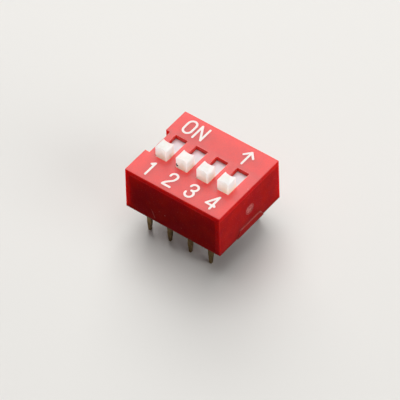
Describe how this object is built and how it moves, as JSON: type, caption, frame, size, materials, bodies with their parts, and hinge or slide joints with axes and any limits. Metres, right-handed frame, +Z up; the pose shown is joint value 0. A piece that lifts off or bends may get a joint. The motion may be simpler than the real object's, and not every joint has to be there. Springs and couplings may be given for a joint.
{
  "type": "dip switch",
  "caption": "Slide dip switch for a circuit board: raised white sliders in a red dual in-line housing with tapered through-hole pins.",
  "frame": {"origin": "middle of the footprint, on the plane of the circuit board's top, which is the underside of the base", "axes": "+X along the positions, from 1 to 4; +Y towards the ON side; +Z up, out of the board"},
  "size_m": [0.0117, 0.0098, 0.0097],
  "materials": {
    "cover": "satin moulded red",
    "base": "satin moulded red, a little darker",
    "slider": "satin moulded white",
    "contact": "gilt spring sheet",
    "terminal": "dull gilt sheet"
  },
  "bodies": {
    "housing": {"cover": "cover", "base": "base", "front_terminal_1": "terminal", "front_terminal_2": "terminal", "front_terminal_3": "terminal", "front_terminal_4": "terminal", "back_terminal_1": "terminal", "back_terminal_2": "terminal", "back_terminal_3": "terminal", "back_terminal_4": "terminal"},
    "actuator_1": {"slider_1": "slider", "moving_contact_1": "contact"},
    "actuator_2": {"slider_2": "slider", "moving_contact_2": "contact"},
    "actuator_3": {"slider_3": "slider", "moving_contact_3": "contact"},
    "actuator_4": {"slider_4": "slider", "moving_contact_4": "contact"}
  },
  "joints": [
    {"name": "slide_1", "type": "slide", "parent": "housing", "child": "actuator_1", "axis": [0, 1, 0], "range_m": [0, 0.002]},
    {"name": "slide_2", "type": "slide", "parent": "housing", "child": "actuator_2", "axis": [0, 1, 0], "range_m": [0, 0.002]},
    {"name": "slide_3", "type": "slide", "parent": "housing", "child": "actuator_3", "axis": [0, 1, 0], "range_m": [0, 0.002]},
    {"name": "slide_4", "type": "slide", "parent": "housing", "child": "actuator_4", "axis": [0, 1, 0], "range_m": [0, 0.002]}
  ]
}
